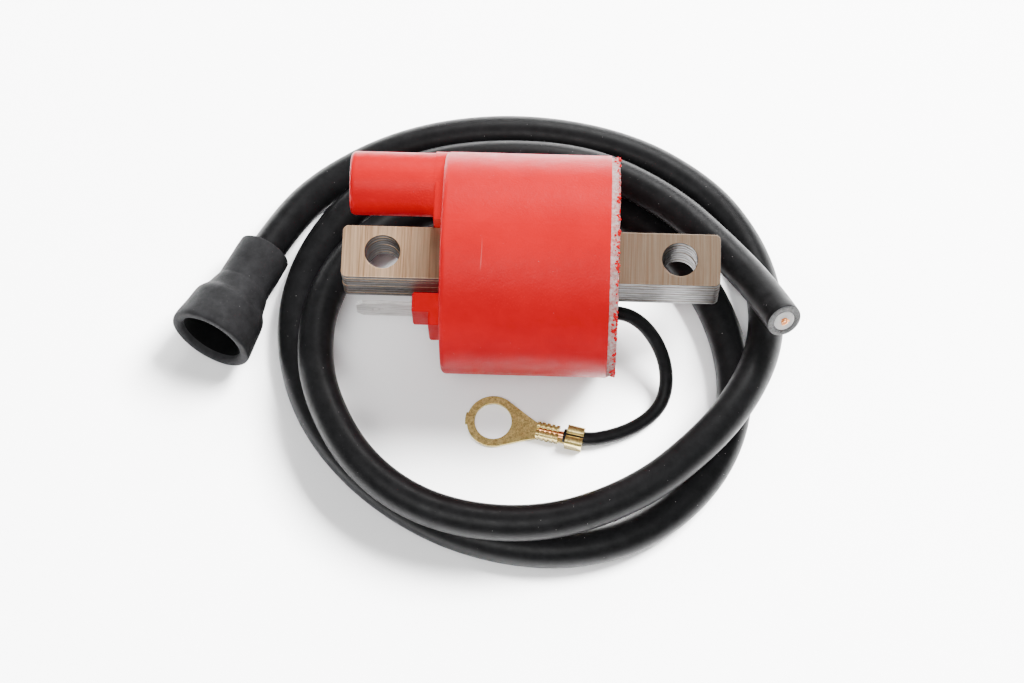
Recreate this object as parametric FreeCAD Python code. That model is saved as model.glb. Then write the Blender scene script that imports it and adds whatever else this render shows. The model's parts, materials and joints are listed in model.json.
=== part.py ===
"""Ignition coil of a small engine, with its high tension lead and its ground wire.

Millimetres.  +X runs right along the core bar, +Y to the back and +Z up.  The origin is on the
ground, under the middle of the core bar.
"""
import math
import os

import FreeCAD
import Part

# Core bar: a stack of flat laminations
BAR_LENGTH = 72.6
BAR_WIDTH = 10.6
LAMINATIONS = 8
LAMINATION = 1.25
LAMINATION_GAP = 0.01
BAR_CORNER = 1.1
BOLT_SPACING = 57.0
BOLT_HOLE_R = 3.4

# Moulded housing
BODY_R = 21.4
AXIS_Z = BODY_R
BODY_LEFT = -16.8
BODY_RIGHT = 15.0
BODY_EDGE = 1.0
CAVITY_R = 19.8
CAVITY_LEFT = -14.8
MOULD_EDGE = 0.5

# High tension tower on the left face
TOWER_Y = 14.9
TOWER_Z = 24.4
TOWER_R = 6.2
TOWER_LEFT = -35.3
COLLAR_R = 6.45
COLLAR_LEFT = -18.9
COLLAR_RIGHT = BODY_LEFT + BODY_EDGE
SOCKET_R = 3.7
SOCKET_DEPTH = 16.0
WEB = ((-18.9, BAR_WIDTH / 2, 18.2), (-16.3, 15.4, 30.6))

# Terminal block below the front of the bar
BLOCK_INNER = ((-19.65, -11.85, 9.96), (-16.3, -BAR_WIDTH / 2, 18.7))
BLOCK_OUTER = ((-22.9, -9.2, 11.2), (-19.0, -BAR_WIDTH / 2, 18.7))

# Spade terminal
SPADE_LEFT = -33.7
SPADE_RIGHT = -16.2
SPADE_Y = (-7.65, -6.85)
SPADE_Z = (11.7, 18.0)
SPADE_CHAMFER = 1.2
SPADE_HOLE_X = -30.0
SPADE_HOLE_R = 0.85

# Windings, from the bar outwards
PRIMARY_TUBE_R = 8.6
PRIMARY_R = 11.0
PRIMARY_X = (-14.3, 13.2)
PRIMARY_FLANGE = 1.2
PAPER_R = 11.4
SECONDARY_TUBE_R = 12.4
SECONDARY_R = 17.4
SECONDARY_FLANGE_R = 18.4
SECONDARY_X = (-13.8, 12.6)
SECONDARY_FLANGE = 0.9
SECTIONS = 5

# Potting compound, which stands out of the open right end
POTTING_RIGHT = 16.6
POTTING_RIM_R = 21.2

# High tension contact and the wires inside the potting
CONTACT_R = 1.4
CONTACT_RIGHT = -14.3
HT_WIRE_R = 0.2
HT_WIRE_X = (-14.5, -12.3)
HT_WIRE_RADIUS = 19.0
LINK_R = 0.45

# Ground wire: route of its centre line, from the potting to the crimp
GROUND_R = 1.35
GROUND_CORE_R = 0.7
GROUND_LINK_RIGHT = 13.6
GROUND_ROUTE = [
    (13.6, -6.2, 13.3), (17.8, -6.2, 13.3), (21.5, -7.4, 11.7), (24.5, -9.9, 9.0),
    (26.5, -13.2, 6.2), (27.2, -16.9, 3.7), (26.5, -20.6, 2.0), (24.1, -23.7, 1.4),
    (20.3, -26.3, 1.4), (15.9, -28.0, 1.5), (11.4, -28.9, 1.75), (7.11, -28.02, 1.75),
]

# Ring terminal, flat on the ground
RING_CENTRE = (-6.8, -25.15)
RING_TURN = -11.65
RING_R = 5.2
RING_HOLE_R = 3.65
RING_STOCK = 0.7
NECK_HALF = 2.3
NECK_X = 7.2
CRIMP_FLOOR = 0.4
CONDUCTOR_CRIMP = (9.0, 13.8)
CONDUCTOR_CRIMP_WIDTH = 3.3
CONDUCTOR_CRIMP_TOP = 2.85
CONDUCTOR_CRIMP_EDGE = 1.0
CRIMP_Z = 1.75
CORE_TAIL = 5.0
INSULATION_CRIMP = (14.8, 18.2)
INSULATION_CRIMP_R = 2.1
INSULATION_CRIMP_TOP = 3.5
SHEAR_NUB = (2.5, 0.4)
SHEAR_NUB_TURN = 6.0

# High tension lead: route of its centre line, from inside the boot to the cut end
LEAD_R = 3.5
INSULATION_R = 2.1
CONDUCTOR_R = 0.6
LEAD_GAP = 0.1
LEAD_ROUTE = [
    (-57.1, -0.7, 7.0), (-51.3, 11.9, 4.8), (-42.6, 23.2, 3.5), (-25.5, 33.0, 3.5),
    (-4.0, 36.4, 3.5), (18.0, 33.0, 3.5), (34.0, 23.8, 3.5), (42.4, 13.2, 3.5),
    (46.5, 1.5, 4.6), (46.3, -10.4, 8.3), (42.0, -21.6, 11.4), (34.8, -31.5, 12.0),
    (22.0, -42.4, 11.0), (3.5, -49.4, 10.8), (-17.0, -48.0, 11.2), (-32.0, -38.8, 11.6),
    (-40.8, -23.4, 11.0), (-42.3, -9.8, 9.8), (-39.2, 2.0, 8.0), (-32.2, 11.6, 6.0),
    (-22.0, 18.2, 4.4), (-8.5, 21.6, 3.5), (8.5, 21.8, 3.5), (22.5, 16.6, 3.5),
    (33.2, 5.4, 3.5), (39.4, -8.0, 3.5), (41.0, -21.0, 3.5), (37.6, -33.0, 3.5),
    (29.6, -43.3, 3.5), (18.0, -50.4, 3.5), (2.0, -52.6, 3.5), (-15.5, -48.8, 3.5),
    (-31.2, -39.4, 3.5), (-42.6, -26.0, 3.5), (-47.4, -9.7, 3.5), (-45.1, 5.8, 3.7),
    (-36.4, 18.6, 5.2), (-22.8, 26.4, 7.0), (-6.0, 28.4, 8.4), (11.5, 26.8, 9.0),
    (27.0, 19.0, 9.4), (38.5, 7.1, 11.8), (45.7, -3.0, 16.4), (48.9, -9.8, 20.6),
]
ARC_SHARE = 0.45

# Boot on the start of the lead: distances along its axis from the mouth, with radii
BOOT_MOUTH = (-62.7, -12.9, 9.2)
BOOT_AXIS = (0.4115, 0.898, -0.159)
BOOT_OUTSIDE = [
    (0.4, 8.45), (1.6, 8.4), (4.8, 7.9), (8.3, 7.6), (10.0, 6.3), (13.4, 5.4), (22.6, 5.4),
]
BOOT_INSIDE = [(22.6, 3.8), (12.4, 3.8), (8.6, 6.2), (1.4, 6.2), (0.0, 6.65), (0.0, 8.1)]

X_AXIS = FreeCAD.Vector(1, 0, 0)
Y_AXIS = FreeCAD.Vector(0, 1, 0)
Z_AXIS = FreeCAD.Vector(0, 0, 1)


def save(shape, node):
    """Write one node and print its size."""
    shape.exportStep("parts/" + node + ".step")
    print(node, "solids", len(shape.Solids), "volume", round(shape.Volume, 2), "valid", shape.isValid())


def box(low, high):
    """A box between two opposite corners."""
    size = [b - a for a, b in zip(low, high)]
    return Part.makeBox(size[0], size[1], size[2], FreeCAD.Vector(*low))


def rod(radius, left, right, y=0.0, z=AXIS_Z):
    """A cylinder along X."""
    return Part.makeCylinder(radius, right - left, FreeCAD.Vector(left, y, z), X_AXIS)


def sleeve(inner, outer, left, right):
    """A tube along X on the axis of the body."""
    return rod(outer, left, right).cut(rod(inner, left, right))


def edges_at_x(shape, x):
    """The edges of a shape that lie wholly at one X."""
    return [e for e in shape.Edges if abs(e.BoundBox.XMin - x) < 1e-6 and abs(e.BoundBox.XMax - x) < 1e-6]


def rounded_block(corners):
    """A block with its outer edges at the left rounded."""
    block = box(*corners)
    return block.makeFillet(MOULD_EDGE, edges_at_x(block, corners[0][0]))


def route_wire(points, tail=0.0):
    """Straight runs joined by tangent arcs as large as the runs allow, with the last run made longer."""
    points = [FreeCAD.Vector(*p) for p in points]
    edges = []
    radii = []
    start = points[0]
    for before, corner, after in zip(points, points[1:], points[2:]):
        came = corner - before
        goes = after - corner
        half_turn = came.getAngle(goes) / 2
        reach = ARC_SHARE * min(came.Length, goes.Length)
        came.normalize()
        goes.normalize()
        radii.append(reach / math.tan(half_turn))
        first = corner - came * reach
        last = corner + goes * reach
        inward = goes - came
        inward.normalize()
        middle = corner + inward * (radii[-1] / math.cos(half_turn) - radii[-1])
        edges.append(Part.LineSegment(start, first).toShape())
        edges.append(Part.Arc(first, middle, last).toShape())
        start = last
    edges.append(Part.LineSegment(start, points[-1] + goes * tail).toShape())
    return Part.Wire(edges), radii


def swept(points, radius, tail=0.0):
    """A round rod along a route, with its last run made longer."""
    path, _ = route_wire(points, tail)
    ahead = FreeCAD.Vector(*points[1]) - FreeCAD.Vector(*points[0])
    circle = Part.Wire([Part.makeCircle(radius, FreeCAD.Vector(*points[0]), ahead)])
    return path.makePipeShell([circle], True, False)


def report_route(name, points, radius):
    """Print the length of a route, its radii and how well its rod matches them."""
    path, radii = route_wire(points)
    ratio = swept(points, radius).Volume / (math.pi * radius ** 2 * path.Length)
    print(name, "length", round(path.Length, 1), "volume ratio", round(ratio, 4))
    print("smallest radius", round(min(radii), 1), "radii", [round(r, 1) for r in radii])


def core_laminations():
    """The laminations, with rounded corners and two bolt holes each."""
    plates = []
    bottom = AXIS_Z - LAMINATIONS * LAMINATION / 2
    for index in range(LAMINATIONS):
        low = bottom + index * LAMINATION
        high = low + LAMINATION - LAMINATION_GAP
        plate = box((-BAR_LENGTH / 2, -BAR_WIDTH / 2, low), (BAR_LENGTH / 2, BAR_WIDTH / 2, high))
        upright = [e for e in plate.Edges if e.BoundBox.ZLength > LAMINATION / 2]
        plate = plate.makeFillet(BAR_CORNER, upright)
        for side in (-1, 1):
            centre = FreeCAD.Vector(side * BOLT_SPACING / 2, 0, low)
            plate = plate.cut(Part.makeCylinder(BOLT_HOLE_R, LAMINATION, centre, Z_AXIS))
        plates.append(plate)
    return Part.makeCompound(plates)


def bar_space():
    """The square-cornered space that the bar takes inside the body."""
    half = LAMINATIONS * LAMINATION / 2
    low = (-BAR_LENGTH / 4, -BAR_WIDTH / 2, AXIS_Z - half)
    high = (BAR_LENGTH / 4, BAR_WIDTH / 2, AXIS_Z + half)
    return box(low, high)


def spade_terminal():
    """A quarter inch spade with a bevelled tip and a locking hole."""
    low = (SPADE_LEFT, SPADE_Y[0], SPADE_Z[0])
    high = (SPADE_RIGHT, SPADE_Y[1], SPADE_Z[1])
    blade = box(low, high)
    tips = [e for e in edges_at_x(blade, SPADE_LEFT) if e.BoundBox.ZLength < SPADE_CHAMFER / 2]
    blade = blade.makeChamfer(SPADE_CHAMFER, tips)
    centre = FreeCAD.Vector(SPADE_HOLE_X, SPADE_Y[0], (SPADE_Z[0] + SPADE_Z[1]) / 2)
    return blade.cut(Part.makeCylinder(SPADE_HOLE_R, SPADE_Y[1] - SPADE_Y[0], centre, Y_AXIS))


def primary_link():
    """The wire from the spade to the primary winding."""
    y = (SPADE_Y[0] + SPADE_Y[1]) / 2
    z = (SPADE_Z[0] + SPADE_Z[1]) / 2
    return rod(LINK_R, SPADE_RIGHT, PRIMARY_X[0] + PRIMARY_FLANGE, y, z)


def earth_link():
    """The wire from the primary winding to the ground wire."""
    start = GROUND_ROUTE[0]
    return rod(GROUND_CORE_R, PRIMARY_X[1] - PRIMARY_FLANGE, GROUND_LINK_RIGHT, start[1], start[2])


def tower_contact():
    """The round contact in the bottom of the socket."""
    return rod(CONTACT_R, TOWER_LEFT + SOCKET_DEPTH, CONTACT_RIGHT, TOWER_Y, TOWER_Z)


def ht_link():
    """The thin wire from the secondary winding, round its end flange, to the contact."""
    away = FreeCAD.Vector(0, TOWER_Y, TOWER_Z - AXIS_Z)
    contact_radius = away.Length
    away.normalize()
    stations = [
        (HT_WIRE_X[0], contact_radius + CONTACT_R), (HT_WIRE_X[0], HT_WIRE_RADIUS),
        (HT_WIRE_X[1], HT_WIRE_RADIUS), (HT_WIRE_X[1], SECONDARY_R),
    ]
    points = [(x, away.y * r, AXIS_Z + away.z * r) for x, r in stations]
    return swept(points, HT_WIRE_R)


def housing(inserts):
    """Shell, tower with its collar, web and terminal block as one moulding, round the inserts."""
    shell = rod(BODY_R, BODY_LEFT, BODY_RIGHT)
    shell = shell.makeFillet(BODY_EDGE, edges_at_x(shell, BODY_LEFT))
    tower = rod(TOWER_R, TOWER_LEFT, CAVITY_LEFT, TOWER_Y, TOWER_Z)
    tower = tower.makeFillet(BODY_EDGE, edges_at_x(tower, TOWER_LEFT))
    collar = rod(COLLAR_R, COLLAR_LEFT, COLLAR_RIGHT, TOWER_Y, TOWER_Z)
    blocks = [rounded_block(corners) for corners in (WEB, BLOCK_INNER, BLOCK_OUTER)]
    moulding = shell.fuse([tower, collar] + blocks)
    socket = rod(SOCKET_R, TOWER_LEFT, TOWER_LEFT + SOCKET_DEPTH, TOWER_Y, TOWER_Z)
    cavity = rod(CAVITY_R, CAVITY_LEFT, BODY_RIGHT)
    return moulding.cut([socket, cavity, bar_space()] + inserts).removeSplitter()


def primary_bobbin(inserts):
    """A flanged tube that fits the bar."""
    left, right = PRIMARY_X
    tube = rod(PRIMARY_TUBE_R, left, right)
    flanges = [rod(PRIMARY_R, left, left + PRIMARY_FLANGE), rod(PRIMARY_R, right - PRIMARY_FLANGE, right)]
    return tube.fuse(flanges).cut([bar_space()] + inserts).removeSplitter()


def secondary_sections():
    """The left and right ends of each section of the secondary bobbin."""
    left, right = SECONDARY_X
    pitch = (right - left - SECONDARY_FLANGE) / SECTIONS
    starts = [left + SECONDARY_FLANGE + index * pitch for index in range(SECTIONS)]
    return [(start, start + pitch - SECONDARY_FLANGE) for start in starts]


def secondary_bobbin():
    """A tube with thin flanges that part the sections."""
    left, right = SECONDARY_X
    tube = sleeve(PAPER_R, SECONDARY_TUBE_R, left, right)
    flanges = [sleeve(PAPER_R, SECONDARY_FLANGE_R, left, left + SECONDARY_FLANGE)]
    for _, end in secondary_sections():
        flanges.append(sleeve(PAPER_R, SECONDARY_FLANGE_R, end, end + SECONDARY_FLANGE))
    return tube.fuse(flanges).removeSplitter()


def secondary_winding():
    """One ring of fine wire in each section."""
    return Part.makeCompound([sleeve(SECONDARY_TUBE_R, SECONDARY_R, *ends) for ends in secondary_sections()])


def potting_compound(embedded):
    """The compound that fills the housing round everything in it."""
    fill = rod(CAVITY_R, CAVITY_LEFT, BODY_RIGHT)
    rim = rod(POTTING_RIM_R, BODY_RIGHT, POTTING_RIGHT)
    outer_winding = rod(PAPER_R, *PRIMARY_X)
    inside = [shape for item in embedded for shape in item.Solids]
    return fill.fuse(rim).cut([bar_space(), outer_winding] + inside).removeSplitter()


def ring_neck(half):
    """The flat neck that runs in tangent to the ring and narrows to the conductor crimp."""
    tangent = math.atan2(NECK_HALF, NECK_X) + math.acos(RING_R / math.hypot(NECK_X, NECK_HALF))
    x, y = RING_R * math.cos(tangent), RING_R * math.sin(tangent)
    side = [(x, y), (NECK_X, NECK_HALF), (CONDUCTOR_CRIMP[0], half)]
    outline = side + [(x, -y) for x, y in reversed(side)]
    corners = [FreeCAD.Vector(x, y, 0) for x, y in outline]
    face = Part.Face(Part.makePolygon(corners + [corners[0]]))
    return face.extrude(Z_AXIS * RING_STOCK)


def ring_terminal(wire):
    """Ring, neck, conductor crimp and insulation crimp, lengthways along X from the ring."""
    centre = FreeCAD.Vector(0, 0, 0)
    ring = Part.makeCylinder(RING_R, RING_STOCK, centre, Z_AXIS)
    nub_width, nub_reach = SHEAR_NUB
    nub = box((-RING_R - nub_reach, -nub_width / 2, 0), (0, nub_width / 2, RING_STOCK))
    nub.rotate(centre, Z_AXIS, SHEAR_NUB_TURN)
    half = CONDUCTOR_CRIMP_WIDTH / 2
    neck = ring_neck(half)
    floor = box((0, -half, 0), (INSULATION_CRIMP[1], half, CRIMP_FLOOR))
    conductor = box((CONDUCTOR_CRIMP[0], -half, 0), (CONDUCTOR_CRIMP[1], half, CONDUCTOR_CRIMP_TOP))
    shoulders = [e for e in conductor.Edges
                 if e.BoundBox.XLength > half and e.BoundBox.ZMin > CONDUCTOR_CRIMP_TOP / 2]
    conductor = conductor.makeFillet(CONDUCTOR_CRIMP_EDGE, shoulders)
    crimp = rod(INSULATION_CRIMP_R, *INSULATION_CRIMP, 0, CRIMP_Z)
    room = box((0, -RING_R, 0), (INSULATION_CRIMP[1], RING_R, INSULATION_CRIMP_TOP))
    body = ring.fuse([nub, neck, floor, conductor, crimp.common(room)])
    body = body.cut(Part.makeCylinder(RING_HOLE_R, RING_STOCK, centre, Z_AXIS))
    body.rotate(centre, Z_AXIS, RING_TURN)
    body.translate(FreeCAD.Vector(RING_CENTRE[0], RING_CENTRE[1], 0))
    return body.cut([solid.copy() for solid in wire]).removeSplitter()


def ground_wire():
    """Jacket and core of the ground wire, the core reaching on into the conductor crimp."""
    core = swept(GROUND_ROUTE, GROUND_CORE_R, CORE_TAIL)
    return swept(GROUND_ROUTE, GROUND_R).cut(core.copy()), core


def boot():
    """A rubber boot: a wide mouth that fits over the tower and a neck that fits the lead."""
    outline = [FreeCAD.Vector(s, r, 0) for s, r in BOOT_OUTSIDE + BOOT_INSIDE]
    face = Part.Face(Part.makePolygon(outline + [outline[0]]))
    shape = face.revolve(FreeCAD.Vector(0, 0, 0), X_AXIS, 360)
    turn = FreeCAD.Rotation(X_AXIS, FreeCAD.Vector(*BOOT_AXIS))
    shape.Placement = FreeCAD.Placement(FreeCAD.Vector(*BOOT_MOUTH), turn)
    return shape


def main():
    """Build every node."""
    os.makedirs("parts", exist_ok=True)
    spade = spade_terminal()
    contact = tower_contact()
    spade_wire = primary_link()
    earth_wire = earth_link()
    ht_wire = ht_link()
    ground_jacket, ground_core = ground_wire()
    bobbin = primary_bobbin([spade_wire, earth_wire])
    sections = secondary_bobbin()
    secondary = secondary_winding()
    ground_solid = swept(GROUND_ROUTE, GROUND_R)
    embedded = [contact, spade_wire, earth_wire, ht_wire, sections, secondary, ground_solid]

    save(housing([spade, contact, spade_wire]), "housing")
    save(core_laminations(), "core_laminations")
    save(bobbin, "primary_bobbin")
    winding_x = (PRIMARY_X[0] + PRIMARY_FLANGE, PRIMARY_X[1] - PRIMARY_FLANGE)
    save(sleeve(PRIMARY_TUBE_R, PRIMARY_R, *winding_x), "primary_winding")
    save(sleeve(PRIMARY_R, PAPER_R, *PRIMARY_X), "interlayer_insulation")
    save(sections, "secondary_bobbin")
    save(secondary, "secondary_winding")
    save(potting_compound(embedded), "potting_compound")
    save(contact, "tower_contact")
    save(ht_wire, "ht_link_wire")
    save(spade, "spade_terminal")
    save(spade_wire, "primary_link_wire")
    save(earth_wire, "earth_link_wire")
    save(ground_jacket, "ground_wire_jacket")
    save(ground_core, "ground_wire_core")
    save(ring_terminal([ground_jacket, ground_core]), "ring_terminal")

    jacket_bore = swept(LEAD_ROUTE, INSULATION_R + LEAD_GAP)
    insulation_bore = swept(LEAD_ROUTE, CONDUCTOR_R + LEAD_GAP)
    save(swept(LEAD_ROUTE, LEAD_R).cut(jacket_bore), "ht_lead_jacket")
    save(swept(LEAD_ROUTE, INSULATION_R).cut(insulation_bore), "ht_lead_insulation")
    save(swept(LEAD_ROUTE, CONDUCTOR_R), "ht_lead_conductor")
    save(boot(), "boot")

    report_route("high tension lead", LEAD_ROUTE, LEAD_R)
    report_route("ground wire", GROUND_ROUTE, GROUND_R)


main()
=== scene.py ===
"""Looks of a small engine's ignition coil with its high tension lead and ground wire.

Metres.  +X runs right along the core bar, +Y to the back and +Z up; the origin is on the ground.
"""
import json
import math
import random
from bisect import bisect_right

import bmesh
import bpy
from mathutils import Matrix, Vector, noise

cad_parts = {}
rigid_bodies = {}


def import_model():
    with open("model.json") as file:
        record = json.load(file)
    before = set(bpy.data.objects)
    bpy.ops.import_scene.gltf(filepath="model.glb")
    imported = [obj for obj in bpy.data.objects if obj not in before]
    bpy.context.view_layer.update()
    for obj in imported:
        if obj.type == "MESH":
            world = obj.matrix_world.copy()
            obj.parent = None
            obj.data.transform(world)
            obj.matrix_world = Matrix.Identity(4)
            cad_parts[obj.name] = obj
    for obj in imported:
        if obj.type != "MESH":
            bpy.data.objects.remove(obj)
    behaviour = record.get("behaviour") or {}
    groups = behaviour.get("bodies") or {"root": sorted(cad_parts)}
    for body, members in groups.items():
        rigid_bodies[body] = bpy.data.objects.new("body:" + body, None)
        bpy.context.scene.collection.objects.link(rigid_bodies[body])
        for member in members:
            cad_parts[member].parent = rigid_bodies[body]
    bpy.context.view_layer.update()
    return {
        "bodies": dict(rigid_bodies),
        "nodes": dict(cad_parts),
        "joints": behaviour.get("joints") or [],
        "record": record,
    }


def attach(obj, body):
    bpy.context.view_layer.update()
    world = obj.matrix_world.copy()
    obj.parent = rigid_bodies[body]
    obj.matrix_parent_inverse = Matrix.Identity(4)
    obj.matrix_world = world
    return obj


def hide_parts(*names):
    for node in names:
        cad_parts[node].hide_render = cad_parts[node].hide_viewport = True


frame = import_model()

MM = 0.001
Z_UP = Vector((0, 0, 1))

# Camera
CAMERA_PLACE = (0.007731, -0.198125, 0.53367)
CAMERA_PITCH = 70.375
CAMERA_YAW = -3.423
CAMERA_ROLL = -1.652
CAMERA_LENS = 100.0
CAMERA_SENSOR = 36.0

# High tension lead: control points of its centre line, in millimetres
LEAD_ROUTE = [
    (-57.1, -0.7, 7.0), (-51.3, 11.9, 4.8), (-42.6, 23.2, 3.5), (-25.5, 33.0, 3.5),
    (-4.0, 36.4, 3.5), (18.0, 33.0, 3.5), (34.0, 23.8, 3.5), (42.4, 13.2, 3.5),
    (46.5, 1.5, 4.6), (46.3, -10.4, 8.3), (42.0, -21.6, 11.4), (34.8, -31.5, 12.0),
    (22.0, -42.4, 11.0), (3.5, -49.4, 10.8), (-17.0, -48.0, 11.2), (-32.0, -38.8, 11.6),
    (-40.8, -23.4, 11.0), (-42.3, -9.8, 9.8), (-39.2, 2.0, 8.0), (-32.2, 11.6, 6.0),
    (-22.0, 18.2, 4.4), (-8.5, 21.6, 3.5), (8.5, 21.8, 3.5), (22.5, 16.6, 3.5),
    (33.2, 5.4, 3.5), (39.4, -8.0, 3.5), (41.0, -21.0, 3.5), (37.6, -33.0, 3.5),
    (29.6, -43.3, 3.5), (18.0, -50.4, 3.5), (2.0, -52.6, 3.5), (-15.5, -48.8, 3.5),
    (-31.2, -39.4, 3.5), (-42.6, -26.0, 3.5), (-47.4, -9.7, 3.5), (-45.1, 5.8, 3.7),
    (-36.4, 18.6, 5.2), (-22.8, 26.4, 7.0), (-6.0, 28.4, 8.4), (11.5, 26.8, 9.0),
    (27.0, 19.0, 9.4), (38.5, 7.1, 11.8), (45.7, -3.0, 16.4), (48.9, -9.8, 20.6),
]
LEAD_R = 3.5
LEAD_BORE_R = 2.2
LEAD_EDGE = 0.2
LEAD_STEP = 1.0
LEAD_SIDES = 48

# Copper strands at the lead's cut end, in millimetres; the lean is a share of their length
STRANDS = 14
STRAND_R = 0.16
STRAND_HOLE_R = 0.02
STRAND_SPREAD = 0.75
STRAND_SUNK = 0.5
STRAND_OUT = (0.2, 0.6)
STRAND_LEAN = 0.25
STRAND_TURN = 2.4
STRAND_SIDES = 10
STRAND_SEED = 3

# Ground wire: control points of its centre line, in millimetres
GROUND_ROUTE = [
    (13.6, -6.2, 13.3), (17.8, -6.2, 13.3), (21.5, -7.4, 11.7), (24.5, -9.9, 9.0),
    (26.5, -13.2, 6.2), (27.2, -16.9, 3.7), (26.5, -20.6, 2.0), (24.1, -23.7, 1.4),
    (20.3, -26.3, 1.4), (15.9, -28.0, 1.5), (11.4, -28.9, 1.75), (7.11, -28.02, 1.75),
]
GROUND_R = 1.35
GROUND_BORE_R = 0.72
GROUND_EDGE = 0.15
GROUND_STEP = 0.4
GROUND_SIDES = 32

# Boot: mouth, axis from the mouth to the neck, and its section as (distance, radius)
BOOT_MOUTH = (-62.7, -12.9, 9.2)
BOOT_AXIS = (0.4115, 0.898, -0.159)
BOOT_LENGTH = 22.6
BOOT_BORE_FROM = 1.2
BOOT_SIDES = 96
BOOT_UNEVEN = 0.06
BOOT_UNEVEN_SCALE = 300
BOOT_STEPS = 8
BOOT_SECTION = [
    (0.0, 6.7), (0.0, 8.2), (0.5, 8.5), (1.5, 8.45), (4.8, 7.95), (7.9, 7.65), (8.9, 7.1),
    (10.0, 6.3), (12.6, 5.75), (13.3, 5.45), (13.7, 5.4), (22.3, 5.4), (22.6, 5.2),
    (22.6, 3.75), (21.8, 3.55), (12.2, 3.55), (11.8, 4.0), (9.0, 6.15), (3.0, 6.2), (1.0, 6.35),
]

# Ring terminal, lying flat
RING_CENTRE = (-6.8, -25.15)
RING_TURN = -11.65
RING_R = 5.2
RING_HOLE_R = 3.65
RING_STEPS = 40
RING_HOLE_STEPS = 72
RING_STOCK = 0.7
RING_BEVEL = 0.12
NECK_X = 7.2
NECK_HALF = 2.3
NUB_TURN = 186.0
NUB_HALF_TURN = 13.0
NUB_OUT = 0.35

# Its crimps: from and to along the terminal, then width and height
CONDUCTOR_CRIMP = (8.8, 13.6)
CONDUCTOR_CRIMP_SIZE = (3.3, 2.75)
INSULATION_CRIMP = (14.8, 18.2)
INSULATION_CRIMP_SIZE = (4.3, 3.6)
CRIMP_LOBES = 2
CRIMP_FOOT = 0.3
CRIMP_BEVEL = 0.06
CRIMP_ROLLS = 5
ROLL_SHARE = 0.68
DENT_SHARES = (0.6, 1.08)
DENT_SHRINK = 0.88
FLOOR_X = (8.4, 18.0)
FLOOR_HALF = 1.2
FLOOR_STOCK = 0.5
FLOOR_BEVEL = 0.1

# Core bar
BAR_LENGTH = 72.6
BAR_WIDTH = 10.6
BAR_BOTTOM = 16.4
LAMINATIONS = 8
LAMINATION = 1.25
LAMINATION_GAP = 0.02
LAMINATION_BEVEL = 0.09
LAMINATION_INSET = 0.03
LAMINATION_SHIFT = (0.06, 0.05)
BAR_CORNER = 1.1
BAR_SEED = 5
BOLT_X = 28.5
BOLT_HOLE_R = 3.4
BOLT_HOLE_STEPS = 64

# Potting at the right end of the body
BODY_AXIS_Z = 21.4
POTTING_X = (14.6, 16.6)
POTTING_R = 21.15
POTTING_SIDES = 320
POTTING_LEFT_R = (6.0, 18.0)
POTTING_FACE = 14.5
POTTING_SUNK = 0.15
POTTING_ROUGH = 0.25
POTTING_ROUGH_SCALE = 900
FACE_ROUGH = 0.22
FACE_ROUGH_SCALE = 700
RIM_STEPS = 5
FACE_STEPS = 30
CRUMBS = 420
CRUMB_SEED = 11
CRUMB_R = (20.6, 21.15)
CRUMB_SIZE = (0.08, 0.24)
CRUMB_REACH = 0.9

# Lights: name, place, size, power and what they light
WORLD_STRENGTH = 0.2
GROUND_SIZE = 6.0
LIGHT_AIM = (0, 0, 0.015)
LIGHTS = [
    ("top_back", (0.2, 0.75, 0.55), 0.5, 14.0, "all"),
    ("top_front", (-0.1, -0.35, 0.8), 0.4, 6.0, "all"),
    ("ground_key", (1.0, 0.75, 1.5), 0.8, 420.0, "ground"),
    ("ground_fill", (-0.2, -0.4, 1.6), 1.6, 11.0, "ground"),
]


# Camera


def add_camera():
    """The camera that sees the coil from the front and above."""
    pitch = math.radians(CAMERA_PITCH)
    yaw = math.radians(CAMERA_YAW)
    roll = math.radians(CAMERA_ROLL)
    ahead = Vector((math.sin(yaw) * math.cos(pitch), math.cos(yaw) * math.cos(pitch), -math.sin(pitch)))
    level = ahead.cross(Z_UP).normalized()
    top = level.cross(ahead)
    right = level * math.cos(roll) + top * math.sin(roll)
    up = top * math.cos(roll) - level * math.sin(roll)
    camera = bpy.data.objects.new("camera", bpy.data.cameras.new("camera"))
    camera.data.lens = CAMERA_LENS
    camera.data.sensor_width = CAMERA_SENSOR
    turn = Matrix((right, up, -ahead)).transposed().to_4x4()
    camera.matrix_world = Matrix.Translation(CAMERA_PLACE) @ turn
    bpy.context.scene.collection.objects.link(camera)
    bpy.context.scene.camera = camera


# Shapes


def linked(name, mesh):
    """An object in the scene that holds a mesh."""
    obj = bpy.data.objects.new(name, mesh)
    bpy.context.scene.collection.objects.link(obj)
    return obj


def smooth_object(name, vertices, faces):
    """A smooth mesh object from vertices in metres."""
    mesh = bpy.data.meshes.new(name)
    mesh.from_pydata(vertices, [], faces)
    mesh.validate()
    mesh.shade_smooth()
    return linked(name, mesh)


def smooth_line(route):
    """Points in metres along the smooth curve that a route's control points guide."""
    curve = bpy.data.curves.new("route", "CURVE")
    curve.dimensions = "3D"
    spline = curve.splines.new("NURBS")
    spline.points.add(len(route) - 1)
    for point, place in zip(spline.points, route):
        point.co = (place[0] * MM, place[1] * MM, place[2] * MM, 1)
    spline.order_u = 3
    spline.use_endpoint_u = True
    spline.resolution_u = 16
    guide = bpy.data.objects.new("route", curve)
    mesh = bpy.data.meshes.new_from_object(guide)
    points = [vertex.co.copy() for vertex in mesh.vertices]
    bpy.data.objects.remove(guide)
    bpy.data.meshes.remove(mesh)
    bpy.data.curves.remove(curve)
    return points


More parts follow.
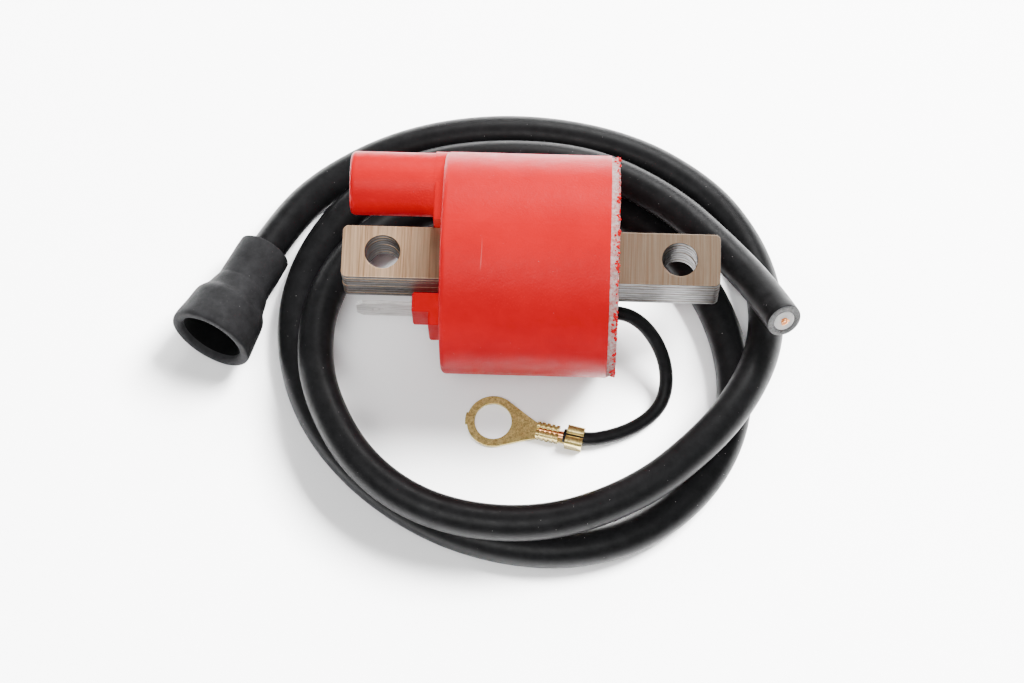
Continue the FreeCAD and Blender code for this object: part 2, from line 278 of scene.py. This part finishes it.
class Line:
    """A line of points with a frame at each, turned as little as possible along it."""

    def __init__(self, points):
        """Measure the line and work out its frames."""
        self.points = points
        self.reach = [0.0]
        for a, b in zip(points, points[1:]):
            self.reach.append(self.reach[-1] + (b - a).length)
        self.frames = []
        side = None
        last = len(points) - 1
        for index in range(len(points)):
            ahead = (points[min(index + 1, last)] - points[max(index - 1, 0)]).normalized()
            side = ahead.orthogonal() if side is None else side
            side = (side - ahead * side.dot(ahead)).normalized()
            self.frames.append((ahead, side, ahead.cross(side)))

    @property
    def length(self):
        """Length of the line in metres."""
        return self.reach[-1]

    def at(self, distance):
        """Place, direction and two sides at a distance along the line, in metres."""
        index = min(max(bisect_right(self.reach, distance) - 1, 0), len(self.points) - 2)
        span = self.reach[index + 1] - self.reach[index]
        share = (distance - self.reach[index]) / span
        place = self.points[index].lerp(self.points[index + 1], share)
        frame = [a.lerp(b, share) for a, b in zip(self.frames[index], self.frames[index + 1])]
        return place, frame


def turned(name, line, stations, sides, wobble=None):
    """A closed surface turned about a line: stations are (distance, radius) in metres, in a loop."""
    vertices = []
    for distance, radius in stations:
        place, (_, side, top) = line.at(distance)
        for step in range(sides):
            angle = 2 * math.pi * step / sides
            out = side * math.cos(angle) + top * math.sin(angle)
            point = place + out * radius
            if wobble:
                point += out * wobble(point)
            vertices.append(point)
    faces = []
    count = len(stations)
    for ring in range(count):
        after = (ring + 1) % count
        for step in range(sides):
            beside = (step + 1) % sides
            faces.append((ring * sides + beside, after * sides + beside,
                          after * sides + step, ring * sides + step))
    return smooth_object(name, vertices, faces)


def rounded(section, rounds):
    """A closed section with its corners cut off again and again, a quarter of each side at a time."""
    for _ in range(rounds):
        cut = []
        for (s0, r0), (s1, r1) in zip(section, section[1:] + section[:1]):
            cut.append((0.75 * s0 + 0.25 * s1, 0.75 * r0 + 0.25 * r1))
            cut.append((0.25 * s0 + 0.75 * s1, 0.25 * r0 + 0.75 * r1))
        section = cut
    return section


def sleeve_stations(length, outer, bore, step, edge):
    """Stations of a long sleeve with slightly rounded ends, in metres."""
    count = max(int(length / step), 2)
    along = [edge + (length - 2 * edge) * index / count for index in range(count + 1)]
    outside = [(s, outer) for s in along]
    inside = [(s, bore) for s in reversed(along)]
    front = [(0.0, bore), (0.0, outer - edge), (0.3 * edge, outer - 0.3 * edge)]
    back = [(length - 0.3 * edge, outer - 0.3 * edge), (length, outer - edge), (length, bore)]
    return front + outside + back + inside


def outline_plate(name, outlines, thickness, bevel):
    """A flat plate on the ground from closed outlines in millimetres, all but the first holes."""
    curve = bpy.data.curves.new(name, "CURVE")
    curve.dimensions = "2D"
    curve.fill_mode = "BOTH"
    for outline in outlines:
        spline = curve.splines.new("POLY")
        spline.points.add(len(outline) - 1)
        spline.use_cyclic_u = True
        for point, (x, y) in zip(spline.points, outline):
            point.co = (x * MM, y * MM, 0, 1)
    curve.extrude = (thickness / 2 - bevel) * MM
    curve.bevel_depth = bevel * MM
    curve.bevel_resolution = 2
    curve.offset = -bevel * MM
    guide = bpy.data.objects.new(name, curve)
    mesh = bpy.data.meshes.new_from_object(guide)
    bpy.data.objects.remove(guide)
    bpy.data.curves.remove(curve)
    weld(mesh)
    mesh.transform(Matrix.Translation((0, 0, thickness / 2 * MM)))
    return linked(name, mesh)


def weld(mesh):
    """Merge the vertices that share a place."""
    work = bmesh.new()
    work.from_mesh(mesh)
    bmesh.ops.remove_doubles(work, verts=work.verts, dist=1e-7)
    bmesh.ops.recalc_face_normals(work, faces=work.faces)
    work.to_mesh(mesh)
    work.free()


def joined(name, objects):
    """One object from several."""
    work = bmesh.new()
    for obj in objects:
        mesh = obj.data
        mesh.transform(obj.matrix_world)
        work.from_mesh(mesh)
        bpy.data.objects.remove(obj)
    mesh = bpy.data.meshes.new(name)
    work.to_mesh(mesh)
    work.free()
    return linked(name, mesh)


def circle(radius, x, y, steps):
    """Points of a circle."""
    turns = [2 * math.pi * step / steps for step in range(steps)]
    return [(x + radius * math.cos(t), y + radius * math.sin(t)) for t in turns]


def arc(x, y, radius, start, end, steps):
    """Points of an arc, the angles in degrees."""
    turns = [math.radians(start + (end - start) * step / steps) for step in range(steps + 1)]
    return [(x + radius * math.cos(t), y + radius * math.sin(t)) for t in turns]


# Materials


def new_material(name, roughness, metallic=0.0):
    """A material with its principled shader."""
    material = bpy.data.materials.new(name)
    material.use_nodes = True
    tree = material.node_tree
    shader = next(node for node in tree.nodes if node.type == "BSDF_PRINCIPLED")
    shader.inputs["Roughness"].default_value = roughness
    shader.inputs["Metallic"].default_value = metallic
    return material, tree, shader


def place_in(tree, stretch=(1, 1, 1)):
    """Object coordinates in millimetres, stretched."""
    source = tree.nodes.new("ShaderNodeTexCoord")
    mapping = tree.nodes.new("ShaderNodeMapping")
    mapping.inputs["Scale"].default_value = [s / MM for s in stretch]
    tree.links.new(source.outputs["Object"], mapping.inputs["Vector"])
    return mapping.outputs["Vector"]


def noise_in(tree, size, detail=4.0, roughness=0.6, stretch=(1, 1, 1)):
    """Noise with features of a size in millimetres."""
    texture = tree.nodes.new("ShaderNodeTexNoise")
    texture.inputs["Scale"].default_value = 1 / size
    texture.inputs["Detail"].default_value = detail
    texture.inputs["Roughness"].default_value = roughness
    tree.links.new(place_in(tree, stretch), texture.inputs["Vector"])
    return texture.outputs["Fac"]


def cells_in(tree, size):
    """Distance to the nearest of many scattered points, one to a cell of a size in millimetres."""
    texture = tree.nodes.new("ShaderNodeTexVoronoi")
    texture.inputs["Scale"].default_value = 1 / size
    tree.links.new(place_in(tree), texture.inputs["Vector"])
    return texture.outputs["Distance"]


def span(tree, value, low, high, to_low=0.0, to_high=1.0):
    """Map one range of a value onto another, held at its ends."""
    node = tree.nodes.new("ShaderNodeMapRange")
    tree.links.new(value, node.inputs["Value"])
    for name, number in (("From Min", low), ("From Max", high), ("To Min", to_low), ("To Max", to_high)):
        node.inputs[name].default_value = number
    return node.outputs["Result"]


def math_of(tree, operation, *values):
    """Arithmetic on one or two values, each a socket or a number."""
    node = tree.nodes.new("ShaderNodeMath")
    node.operation = operation
    for socket, value in zip(node.inputs, values):
        if isinstance(value, (int, float)):
            socket.default_value = value
        else:
            tree.links.new(value, socket)
    return node.outputs["Value"]


def mixed(tree, share, a, b):
    """A colour between two, each a socket or a colour."""
    node = tree.nodes.new("ShaderNodeMix")
    node.data_type = "RGBA"
    tree.links.new(share, node.inputs["Factor"])
    for socket, value in ((node.inputs[6], a), (node.inputs[7], b)):
        if isinstance(value, tuple):
            socket.default_value = (*value, 1)
        else:
            tree.links.new(value, socket)
    return node.outputs[2]


def colour(tree, shader, value):
    """Set the base colour from a socket."""
    tree.links.new(value, shader.inputs["Base Color"])


def relief(tree, shader, height, depth):
    """Bump of a depth in millimetres."""
    bump = tree.nodes.new("ShaderNodeBump")
    bump.inputs["Strength"].default_value = 1.0
    bump.inputs["Distance"].default_value = depth * MM
    tree.links.new(height, bump.inputs["Height"])
    tree.links.new(bump.outputs["Normal"], shader.inputs["Normal"])


def facing(tree, axis):
    """How far a surface faces along an axis, from the true normal."""
    source = tree.nodes.new("ShaderNodeNewGeometry")
    parts = tree.nodes.new("ShaderNodeSeparateXYZ")
    tree.links.new(source.outputs["True Normal"], parts.inputs["Vector"])
    return parts.outputs[axis]


def place_part(tree, axis):
    """One coordinate in millimetres."""
    parts = tree.nodes.new("ShaderNodeSeparateXYZ")
    tree.links.new(place_in(tree), parts.inputs["Vector"])
    return parts.outputs[axis]


def specks(tree, size, edge, patch, patch_edge):
    """Scattered specks a cell of a size apart, only in patches of another size."""
    dots = span(tree, cells_in(tree, size), *edge)
    return math_of(tree, "MULTIPLY", dots, span(tree, noise_in(tree, patch), *patch_edge))


def red_plastic():
    """Moulded red plastic, satin, with fine scratches and pale specks."""
    material, tree, shader = new_material("red_plastic", 0.38)
    shader.inputs["Specular IOR Level"].default_value = 0.06
    cloud = span(tree, noise_in(tree, 9.0), 0.35, 0.7)
    base = mixed(tree, cloud, (0.84, 0.0, 0.010), (0.95, 0.001, 0.012))
    scratch = noise_in(tree, 1.6, 2.0, 0.5, (1.0, 0.06, 0.06))
    scratch = span(tree, scratch, 0.77, 0.80)
    cross = noise_in(tree, 1.2, 1.0, 0.5, (0.05, 1.0, 0.3))
    cross = span(tree, cross, 0.78, 0.82)
    marks = math_of(tree, "MULTIPLY", math_of(tree, "MAXIMUM", scratch, cross), 0.3)
    base = mixed(tree, marks, base, (0.95, 0.45, 0.42))
    dust = specks(tree, 1.3, (0.05, 0.02), 2.4, (0.5, 0.6))
    base = mixed(tree, math_of(tree, "MULTIPLY", dust, 0.7), base, (0.95, 0.75, 0.72))
    colour(tree, shader, base)
    swell = math_of(tree, "MULTIPLY", noise_in(tree, 4.0), 2.0)
    grain = math_of(tree, "ADD", noise_in(tree, 0.35, 3.0), swell)
    relief(tree, shader, grain, 0.05)
    rough = span(tree, noise_in(tree, 2.2), 0.3, 0.75, 0.30, 0.46)
    tree.links.new(rough, shader.inputs["Roughness"])
    return material


def steel_top(tree, streak):
    """Bronze brushed top of the bar, with painted light that makes it lighter at the right and a painted
    reflection of the body's shaded face that darkens it at the left.
    """
    along = place_part(tree, "X")
    band = noise_in(tree, 3.0, 2.0, 0.6, (1.0, 0.02, 0.02))
    fine = span(tree, streak, 0.36, 0.62)
    shade = mixed(tree, fine, (0.40, 0.22, 0.115), (0.88, 0.58, 0.35))
    shade = mixed(tree, span(tree, band, 0.4, 0.7, 0.0, 0.5), shade, (0.92, 0.66, 0.43))
    # Painted light: right of the body the streak colours are lighter, to make up for light that the metal
    # top does not reflect there.
    painted_lit_right = mixed(tree, fine, (0.66, 0.46, 0.29), (1.0, 0.82, 0.60))
    shade = mixed(tree, span(tree, along, 16.0, 18.0), shade, painted_lit_right)
    # Painted reflection: next to the body's left face the top is darkened towards brown-black, fading out
    # by 26 mm left of centre, standing for the reflection of that shaded face.
    return mixed(tree, span(tree, along, -26.0, -17.0, 0.0, 0.75), shade, (0.10, 0.045, 0.022))


def steel_side(tree, smear):
    """Grey sides of the bar: a dark gap at each lamination, and painted shade at the left, standing for the
    reflection of the shadowed floor and the dark lead.
    """
    height = math_of(tree, "SUBTRACT", place_part(tree, "Z"), BAR_BOTTOM)
    layer = math_of(tree, "FRACT", math_of(tree, "DIVIDE", height, LAMINATION))
    gap = math_of(tree, "ABSOLUTE", math_of(tree, "SUBTRACT", layer, 0.5))
    grey = mixed(tree, span(tree, smear, 0.35, 0.65), (0.07, 0.068, 0.066), (0.27, 0.265, 0.26))
    grey = mixed(tree, span(tree, gap, 0.34, 0.42), grey, (0.012, 0.011, 0.010))
    # Painted shade: left of the middle the sides are darkened, most next to the body, for the shadow and
    # the dark lead that they reflect.
    painted_shade_left = span(tree, place_part(tree, "X"), -34.0, -18.0, 0.45, 0.92)
    right = span(tree, place_part(tree, "X"), 0.0, 1.0)
    painted_shade_left = math_of(tree, "MULTIPLY", painted_shade_left, math_of(tree, "SUBTRACT", 1.0, right))
    return mixed(tree, painted_shade_left, grey, (0.03, 0.027, 0.025))


def core_steel():
    """Laminated steel: brushed and bronze on top, layered grey at the sides."""
    material, tree, shader = new_material("core_steel", 0.36, 0.65)
    streak = noise_in(tree, 0.5, 4.0, 0.75, (1.0, 0.02, 0.02))
    smear = noise_in(tree, 0.8, 4.0, 0.6, (0.25, 0.25, 1.6))
    top = span(tree, facing(tree, "Z"), 0.6, 0.9)
    colour(tree, shader, mixed(tree, top, steel_side(tree, smear), steel_top(tree, streak)))
    relief(tree, shader, math_of(tree, "ADD", streak, math_of(tree, "MULTIPLY", smear, 0.7)), 0.03)
    return material


def potting_epoxy():
    """Rough pinkish white epoxy with red dust."""
    material, tree, shader = new_material("potting", 0.75)
    lumps = span(tree, noise_in(tree, 0.7, 5.0, 0.75), 0.4, 0.6)
    base = mixed(tree, lumps, (0.78, 0.24, 0.22), (0.92, 0.80, 0.78))
    outward = span(tree, place_part(tree, "X"), POTTING_X[0] + 0.3, POTTING_X[1] + 0.3, -0.16, 0.1)
    low = span(tree, place_part(tree, "Z"), 34.0, 4.0, -0.06, 0.08)
    patch = math_of(tree, "ADD", noise_in(tree, 1.2, 5.0, 0.8), outward)
    patch = math_of(tree, "ADD", patch, low)
    base = mixed(tree, span(tree, patch, 0.50, 0.55, 0.0, 0.8), base, (0.78, 0.03, 0.03))
    colour(tree, shader, base)
    relief(tree, shader, noise_in(tree, 0.5, 5.0, 0.75), 0.35)
    return material


def stamped_brass():
    """Stamped brass: dull and mottled where it lies flat, with a painted highlight that makes the crimps
    and edges bright.
    """
    material, tree, shader = new_material("brass", 0.24, 0.6)
    cloud = span(tree, noise_in(tree, 0.5, 6.0, 0.8), 0.38, 0.62)
    base = mixed(tree, cloud, (0.30, 0.215, 0.06), (0.74, 0.58, 0.22))
    # Painted highlight: faces that do not lie flat, the crimps and edges, are given a bright yellow colour.
    base = mixed(tree, span(tree, facing(tree, "Z"), 0.95, 0.7), base, (0.95, 0.76, 0.30))
    colour(tree, shader, base)
    relief(tree, shader, noise_in(tree, 0.4, 4.0, 0.6), 0.03)
    flat = span(tree, facing(tree, "Z"), 0.9, 0.99, 0.22, 0.52)
    tree.links.new(flat, shader.inputs["Roughness"])
    return material


def tin_plate():
    """Tinned blade with fine streaks."""
    material, tree, shader = new_material("tin_plate", 0.32, 0.1)
    streak = noise_in(tree, 0.5, 4.0, 0.65, (0.12, 1.0, 1.0))
    base = mixed(tree, span(tree, streak, 0.4, 0.6), (0.70, 0.69, 0.66), (1.0, 0.99, 0.96))
    colour(tree, shader, base)
    relief(tree, shader, streak, 0.03)
    return material


def black_rubber(name, dark, light, roughness, grain, dust):
    """Black rubber with a fine grain and scattered dust."""
    material, tree, shader = new_material(name, roughness)
    shader.inputs["Specular IOR Level"].default_value = 0.1
    cloud = span(tree, noise_in(tree, 3.0, 5.0, 0.65), 0.3, 0.7)
    base = mixed(tree, cloud, (dark, dark, dark * 1.05), (light, light, light * 1.06))
    dots = specks(tree, 1.1, (0.07, 0.03), 3.1, (0.48, 0.6))
    base = mixed(tree, math_of(tree, "MULTIPLY", dots, dust), base, (0.45, 0.43, 0.42))
    colour(tree, shader, base)
    relief(tree, shader, noise_in(tree, 0.3, 4.0, 0.7), grain)
    rough = span(tree, noise_in(tree, 1.7, 4.0), 0.3, 0.7, roughness - 0.07, roughness + 0.09)
    tree.links.new(rough, shader.inputs["Roughness"])
    return material


def cut_rubber():
    """The fresh face of the cut rubber, greyer than its skin and scored by the blade."""
    material, tree, shader = new_material("cut_rubber", 0.6)
    score = noise_in(tree, 0.4, 4.0, 0.7, (1.0, 0.3, 1.0))
    base = mixed(tree, span(tree, score, 0.35, 0.65), (0.07, 0.07, 0.07), (0.22, 0.22, 0.22))
    colour(tree, shader, base)
    relief(tree, shader, score, 0.08)
    return material


def plain_plastic(name, dark, light, roughness):
    """Pale moulded plastic, faintly uneven."""
    material, tree, shader = new_material(name, roughness)
    colour(tree, shader, mixed(tree, span(tree, noise_in(tree, 0.8), 0.3, 0.7), dark, light))
    relief(tree, shader, noise_in(tree, 0.3), 0.03)
    return material


def copper(name, dark, light):
    """Copper wire with turns too fine to model."""
    material, tree, shader = new_material(name, 0.3, 1.0)
    turn = noise_in(tree, 0.3, 2.0, 0.5, (1.0, 0.1, 0.1))
    colour(tree, shader, mixed(tree, span(tree, turn, 0.3, 0.7), dark, light))
    relief(tree, shader, turn, 0.05)
    return material


def floor_white():
    """Plain white paper."""
    material, _, shader = new_material("floor", 0.9)
    shader.inputs["Base Color"].default_value = (0.97, 0.97, 0.97, 1)
    shader.inputs["Specular IOR Level"].default_value = 0.1
    return material


def dress(obj, material):
    """Give an object one material."""
    obj.data.materials.clear()
    obj.data.materials.append(material)


def dress_faces(obj, material, chosen):
    """Give the chosen faces, judged by centre and normal, a second material."""
    obj.data.materials.append(material)
    for face in obj.data.polygons:
        if chosen(face.center, face.normal):
            face.material_index = len(obj.data.materials) - 1


# Pieces


def add_piece(obj, body, slot, material, *nodes):
    """Let a piece ride on its body and stand for its nodes."""
    dress(obj, material)
    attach(obj, body)
    if nodes:
        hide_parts(*nodes)


def add_lead(material, cut_material):
    """The high tension lead, a sleeve whose ends show the pale insulation and the copper."""
    line = Line(smooth_line(LEAD_ROUTE))
    stations = sleeve_stations(line.length, LEAD_R * MM, LEAD_BORE_R * MM, LEAD_STEP * MM, LEAD_EDGE * MM)
    lead = turned("ht_lead", line, stations, LEAD_SIDES)
    add_piece(lead, "lead", "lead_rubber", material, "ht_lead_jacket")
    end, (ahead, _, _) = line.at(line.length)

    def on_cut(centre, normal):
        """Whether a face is on the cut across the lead."""
        return (centre - end).length < LEAD_R * MM and normal.dot(ahead) > 0.9

    dress_faces(lead, cut_material, on_cut)
    return line


def add_ground_wire(jacket_material):
    """The jacket of the ground wire."""
    line = Line(smooth_line(GROUND_ROUTE))
    stations = sleeve_stations(line.length, GROUND_R * MM, GROUND_BORE_R * MM,
                               GROUND_STEP * MM, GROUND_EDGE * MM)
    wire = turned("ground_wire", line, stations, GROUND_SIDES)
    add_piece(wire, "coil", "wire_jacket", jacket_material, "ground_wire_jacket")


def add_boot(material, bore_shade_material):
    """The rubber boot, with soft corners and an uneven mouth, and painted shade in its bore."""
    mouth = Vector(BOOT_MOUTH) * MM
    axis = Vector(BOOT_AXIS).normalized()
    line = Line([mouth + axis * (BOOT_LENGTH * MM * step / BOOT_STEPS) for step in range(BOOT_STEPS + 1)])
    stations = [(s * MM, r * MM) for s, r in rounded(BOOT_SECTION, 3)]

    def uneven(point):
        """How far the rubber stands out at a point, in metres."""
        return BOOT_UNEVEN * MM * noise.noise(point * BOOT_UNEVEN_SCALE)

    boot = turned("boot_detail", line, stations, BOOT_SIDES, uneven)
    add_piece(boot, "boot", "boot_rubber", material, "boot")

    def inside(centre, normal):
        """Whether a face is in the boot's bore."""
        along = (centre - mouth).dot(axis)
        return along > BOOT_BORE_FROM * MM and normal.dot(centre - mouth - axis * along) < 0

    # Painted shade: the faces in the bore take a near-black rubber.
    dress_faces(boot, bore_shade_material, inside)


def lamination_outline(dx, dy):
    """A rectangle with rounded corners, its middle at dx, dy."""
    x = BAR_LENGTH / 2 - LAMINATION_INSET - BAR_CORNER
    y = BAR_WIDTH / 2 - LAMINATION_INSET - BAR_CORNER
    outline = []
    for sx, sy, start in ((1, 1, 0), (-1, 1, 90), (-1, -1, 180), (1, -1, 270)):
        outline += arc(dx + sx * x, dy + sy * y, BAR_CORNER, start, start + 90, 8)
    return outline


def add_core(material):
    """The eight laminations, each a little out of line with the others."""
    random.seed(BAR_SEED)
    most_x, most_y = LAMINATION_SHIFT
    plates = []
    for index in range(LAMINATIONS):
        dx = random.uniform(-most_x, most_x)
        dy = random.uniform(-most_y, most_y)
        holes = [circle(BOLT_HOLE_R, dx + side * BOLT_X, dy, BOLT_HOLE_STEPS) for side in (-1, 1)]
        plate = outline_plate("lamination", [lamination_outline(dx, dy)] + holes,
                              LAMINATION - LAMINATION_GAP, LAMINATION_BEVEL)
        height = BAR_BOTTOM + index * LAMINATION + LAMINATION_GAP / 2
        plate.data.transform(Matrix.Translation((0, 0, height * MM)))
        plates.append(plate)
    core = joined("core_plates", plates)
    add_piece(core, "coil", "core_steel", material, "core_laminations")


def add_potting(material):
    """The rough face and rim of the potting."""
    left, right = POTTING_X
    start = left - 1.0
    line = Line([Vector((x * MM, 0, BODY_AXIS_Z * MM)) for x in (start, left, right, right + 1)])
    rings = [(left, radius) for radius in POTTING_LEFT_R]
    rings += [(left + (right - left - 0.3) * step / RIM_STEPS, POTTING_R) for step in range(RIM_STEPS + 1)]
    rings += [(right - 0.1, POTTING_R - 0.2)]
    rings += [(right, POTTING_R - 0.6 - POTTING_FACE * step / FACE_STEPS) for step in range(FACE_STEPS + 1)]
    stations = [((x - start) * MM, radius * MM) for x, radius in rings]

    def crumble(point):
        """How far the rough surface stands out at a point, in metres."""
        rough = noise.fractal(point * POTTING_ROUGH_SCALE, 0.9, 2.0, 4)
        return (POTTING_ROUGH * rough - POTTING_SUNK) * MM

    potting = turned("potting_face", line, stations, POTTING_SIDES, crumble)
    for vertex in potting.data.vertices:
        if vertex.co.x > (right - 0.5) * MM:
            vertex.co.x += FACE_ROUGH * MM * noise.fractal(vertex.co * FACE_ROUGH_SCALE, 0.9, 2.0, 4)
    add_piece(potting, "coil", "potting", material, "potting_compound")


def lump(radius, place, squash, seed):
    """A small uneven lump."""
    work = bmesh.new()
    bmesh.ops.create_icosphere(work, subdivisions=1, radius=radius * MM)
    for vertex in work.verts:
        vertex.co *= 1 + 0.5 * noise.noise(vertex.co / (radius * MM) + Vector((seed, 0, 0)))
        vertex.co.x *= squash
    mesh = bpy.data.meshes.new("lump")
    work.to_mesh(mesh)
    work.free()
    mesh.shade_smooth()
    mesh.transform(Matrix.Translation(Vector(place) * MM))
    return linked("lump", mesh)


def add_crumbs(material):
    """Torn red crumbs of the housing's edge round the potting."""
    random.seed(CRUMB_SEED)
    lumps = []
    for index in range(CRUMBS):
        turn = random.uniform(0, 2 * math.pi)
        radius = random.uniform(*CRUMB_R)
        x = POTTING_X[1] - CRUMB_REACH * abs(random.gauss(0, 0.45))
        place = (x, radius * math.cos(turn), BODY_AXIS_Z + radius * math.sin(turn))
        cluster = noise.noise(Vector((4 * math.cos(turn), 4 * math.sin(turn), 0)))
        size = random.uniform(*CRUMB_SIZE) * (1.25 + cluster)
        lumps.append(lump(size, place, 1.1, index))
    crumbs = joined("housing_crumbs", lumps)
    add_piece(crumbs, "coil", "red_plastic", material)


def crimp_section(width, height):
    """Outline of a crimp seen end on: flat at the foot, with round lobes side by side at the top."""
    half = width / 2
    lobe = half / CRIMP_LOBES
    outline = [(-half + CRIMP_FOOT, 0.0), (half - CRIMP_FOOT, 0.0), (half, CRIMP_FOOT)]
    for index in range(CRIMP_LOBES):
        outline += arc(half - lobe - 2 * lobe * index, height - lobe, lobe, 4, 176, 16)
    outline.append((-half, CRIMP_FOOT))
    return outline


def crimp_slice(name, size, start, end, shrink=1.0):
    """A length of a crimp across the terminal, its foot on the ground."""
    section = [(x * shrink, y * shrink) for x, y in crimp_section(*size)]
    piece = outline_plate(name, [section], end - start, CRIMP_BEVEL)
    upright = Matrix(((0, 0, 1), (1, 0, 0), (0, 1, 0))).to_4x4()
    piece.data.transform(Matrix.Translation((start * MM, 0, 0)) @ upright)
    return piece


def ring_outline():
    """The ring with its shear nub and the neck that leaves it on two tangents."""
    tangent = math.atan2(NECK_HALF, NECK_X) + math.acos(RING_R / math.hypot(NECK_X, NECK_HALF))
    tangent = math.degrees(tangent)
    half = CONDUCTOR_CRIMP_SIZE[0] / 2
    nub_start = NUB_TURN - NUB_HALF_TURN
    nub_end = NUB_TURN + NUB_HALF_TURN
    outline = arc(0, 0, RING_R, tangent, nub_start, RING_STEPS)
    outline += arc(0, 0, RING_R + NUB_OUT, nub_start, nub_end, 4)
    outline += arc(0, 0, RING_R, nub_end, 360 - tangent, RING_STEPS)
    start = CONDUCTOR_CRIMP[0]
    outline += [(NECK_X, -NECK_HALF), (start, -half), (start, half), (NECK_X, NECK_HALF)]
    return outline


def conductor_crimp():
    """The serrated crimp on the copper: full rolls with shallower dents between them."""
    start, end = CONDUCTOR_CRIMP
    pitch = (end - start) / CRIMP_ROLLS
    dent_start, dent_end = DENT_SHARES
    parts = []
    for index in range(CRIMP_ROLLS):
        left = start + index * pitch
        parts.append(crimp_slice("roll", CONDUCTOR_CRIMP_SIZE, left, left + ROLL_SHARE * pitch))
        if index < CRIMP_ROLLS - 1:
            parts.append(crimp_slice("dent", CONDUCTOR_CRIMP_SIZE, left + dent_start * pitch,
                                     left + dent_end * pitch, DENT_SHRINK))
    return parts


def add_terminal(material):
    """Ring, neck and the two crimps of the ring terminal."""
    ring = [ring_outline(), circle(RING_HOLE_R, 0, 0, RING_HOLE_STEPS)]
    start, end = FLOOR_X
    floor = [(start, -FLOOR_HALF), (end, -FLOOR_HALF), (end, FLOOR_HALF), (start, FLOOR_HALF)]
    parts = [
        outline_plate("plate", ring, RING_STOCK, RING_BEVEL),
        outline_plate("floor", [floor], FLOOR_STOCK, FLOOR_BEVEL),
    ]
    parts += conductor_crimp()
    parts.append(crimp_slice("wrap", INSULATION_CRIMP_SIZE, *INSULATION_CRIMP))
    terminal = joined("ring_terminal_detail", parts)
    turn = Matrix.Rotation(math.radians(RING_TURN), 4, "Z")
    terminal.data.transform(Matrix.Translation((RING_CENTRE[0] * MM, RING_CENTRE[1] * MM, 0)) @ turn)
    add_piece(terminal, "coil", "brass", material, "ring_terminal")


def add_strands(material, line):
    """The frayed copper strands that stand a little out of the lead's cut end."""
    place, (ahead, side, top) = line.at(line.length)
    random.seed(STRAND_SEED)
    parts = []
    for index in range(STRANDS):
        turn = STRAND_TURN * index
        out = STRAND_SPREAD * math.sqrt(index / STRANDS)
        foot = place + (side * math.cos(turn) + top * math.sin(turn)) * out * MM
        lean = Vector([random.uniform(-1, 1) for _ in range(3)]) * STRAND_LEAN
        tip = foot + (ahead + lean) * random.uniform(*STRAND_OUT) * MM
        strand = Line([foot - ahead * STRAND_SUNK * MM, foot, tip])
        end = strand.length
        rings = ((0.0, STRAND_HOLE_R), (0.0, STRAND_R), (end, STRAND_R), (end, STRAND_HOLE_R))
        stations = [(distance, radius * MM) for distance, radius in rings]
        parts.append(turned("strand", strand, stations, STRAND_SIDES))
    strands = joined("ht_lead_strands", parts)
    add_piece(strands, "lead", "copper_wire", material)


# Stage


def add_stage(material):
    """White ground, lit by lights of its own so that it stays white, and the lights on the coil."""
    bpy.ops.mesh.primitive_plane_add(size=GROUND_SIZE)
    floor = bpy.context.object
    floor.name = "floor"
    floor.visible_diffuse = False
    dress(floor, material)
    world = bpy.data.worlds.new("world")
    world.use_nodes = True
    background = next(node for node in world.node_tree.nodes if node.type == "BACKGROUND")
    background.inputs["Color"].default_value = (1, 1, 1, 1)
    background.inputs["Strength"].default_value = WORLD_STRENGTH
    bpy.context.scene.world = world
    ground_only = bpy.data.collections.new("ground_only")
    ground_only.objects.link(floor)
    for name, place, size, power, receivers in LIGHTS:
        light = add_light(name, place, size, power)
        if receivers == "ground":
            light.light_linking.receiver_collection = ground_only


def add_light(name, place, size, power):
    """A square light that points at the coil."""
    data = bpy.data.lights.new(name, "AREA")
    data.size = size
    data.energy = power
    light = bpy.data.objects.new(name, data)
    light.location = place
    toward = Vector(LIGHT_AIM) - Vector(place)
    light.rotation_euler = toward.to_track_quat("-Z", "Y").to_euler()
    bpy.context.scene.collection.objects.link(light)
    return light


def main():
    """Build the whole scene."""
    nodes = frame["nodes"]
    add_camera()
    brass = stamped_brass()
    red = red_plastic()
    add_terminal(brass)
    line = add_lead(black_rubber("lead_rubber", 0.009, 0.017, 0.38, 0.02, 0.9), cut_rubber())
    add_ground_wire(black_rubber("wire_jacket", 0.010, 0.020, 0.42, 0.03, 0.5))
    # Near-black rubber for the boot's bore: painted shade in the recess.
    bore = black_rubber("boot_bore_painted_shade", 0.001, 0.003, 0.8, 0.05, 0.15)
    add_boot(black_rubber("boot_rubber", 0.022, 0.042, 0.62, 0.05, 0.6), bore)
    add_core(core_steel())
    add_potting(potting_epoxy())
    add_crumbs(red)
    pale = plain_plastic("bobbin_plastic", (0.70, 0.66, 0.56), (0.82, 0.79, 0.70), 0.5)
    white = plain_plastic("lead_insulation", (0.93, 0.92, 0.91), (0.98, 0.98, 0.97), 0.45)
    thick = copper("copper_wire", (0.72, 0.26, 0.09), (0.95, 0.48, 0.22))
    add_strands(thick, line)
    fine = copper("fine_copper_wire", (0.40, 0.14, 0.06), (0.62, 0.28, 0.14))
    paper = plain_plastic("paper", (0.66, 0.58, 0.42), (0.80, 0.73, 0.58), 0.8)
    looks = {
        "housing": red, "primary_bobbin": pale, "secondary_bobbin": pale, "primary_winding": thick,
        "secondary_winding": fine, "interlayer_insulation": paper, "tower_contact": brass,
        "ht_link_wire": fine, "spade_terminal": tin_plate(), "primary_link_wire": thick,
        "earth_link_wire": thick, "ground_wire_core": thick, "ht_lead_insulation": white,
        "ht_lead_conductor": thick,
    }
    for name, material in looks.items():
        dress(nodes[name], material)
    add_stage(floor_white())


main()
